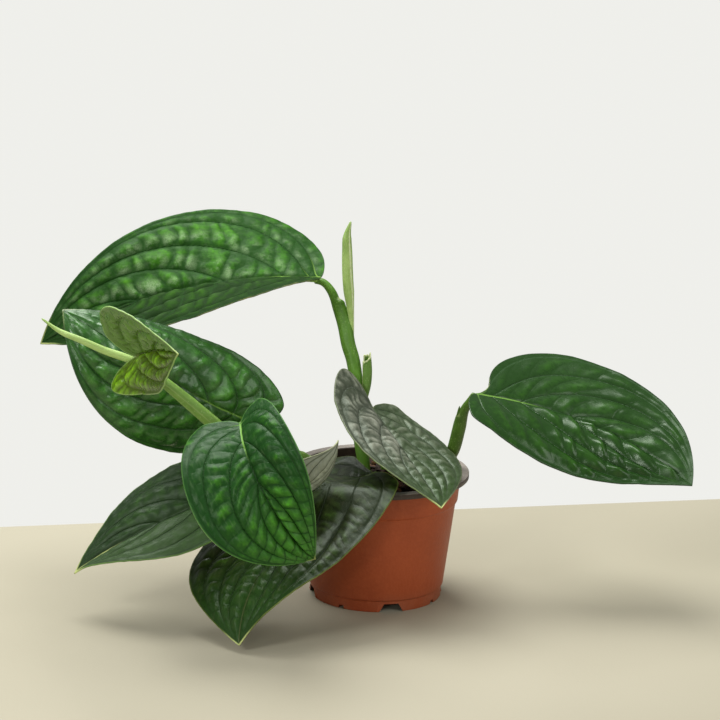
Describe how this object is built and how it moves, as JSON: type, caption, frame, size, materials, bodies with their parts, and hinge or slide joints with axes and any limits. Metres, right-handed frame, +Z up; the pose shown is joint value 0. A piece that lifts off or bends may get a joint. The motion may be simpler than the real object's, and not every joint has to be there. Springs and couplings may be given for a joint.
{
  "type": "potted monstera",
  "caption": "Small climbing aroid with quilted oval leaves on long stalks, a left-trailing vine and rolled new leaves, growing in a tapered plastic nursery pot.",
  "frame": {"origin": "middle of the pot's underside, on the surface that it stands on", "axes": "+Z up, -Y towards the plant's front, +X to its right as seen from the front"},
  "size_m": [0.3813, 0.2123, 0.2146],
  "materials": {
    "pot_plastic": "terracotta coloured moulded plastic with a dark brown rim and inner wall",
    "potting_mix": "damp coarse mix of peat and bark chips",
    "blade_mid_green": "quilted leaf surface, satin, paler on its veins and edge",
    "blade_dark_green": "quilted leaf surface, dark, with a strong satin gloss",
    "blade_grey_green": "quilted leaf surface, silvery grey green, nearly matt",
    "blade_young_green": "young thin leaf, olive green, satin",
    "green_stem": "smooth fleshy stem, light green, satin, with pale sheath edges",
    "dark_stem": "smooth fleshy stem, dark olive, satin",
    "new_leaf": "tightly rolled new leaf, pale yellow green, satin",
    "dry_sheath": "cut and drying sheath, dull green going to straw at its edge"
  },
  "bodies": {
    "root": {"nursery_pot": "pot_plastic", "potting_mix": "potting_mix", "upright_stem": "green_stem", "right_stem": "dark_stem", "left_vine": "green_stem", "upright_new_leaf": "new_leaf", "sheath_stub": "dry_sheath", "left_new_leaf": "new_leaf", "rear_left_stalk": "green_stem", "front_stalk": "green_stem", "low_left_stalk": "green_stem", "folded_stalk": "green_stem", "young_stalk": "green_stem", "table_stalk": "green_stem", "centre_stalk": "green_stem", "upper_left_leaf": "blade_mid_green", "rear_left_leaf": "blade_dark_green", "front_leaf": "blade_mid_green", "low_left_leaf": "blade_dark_green", "table_leaf": "blade_dark_green", "folded_leaf": "blade_grey_green", "centre_leaf": "blade_grey_green", "right_leaf": "blade_dark_green", "young_leaf": "blade_young_green"}
  },
  "joints": []
}
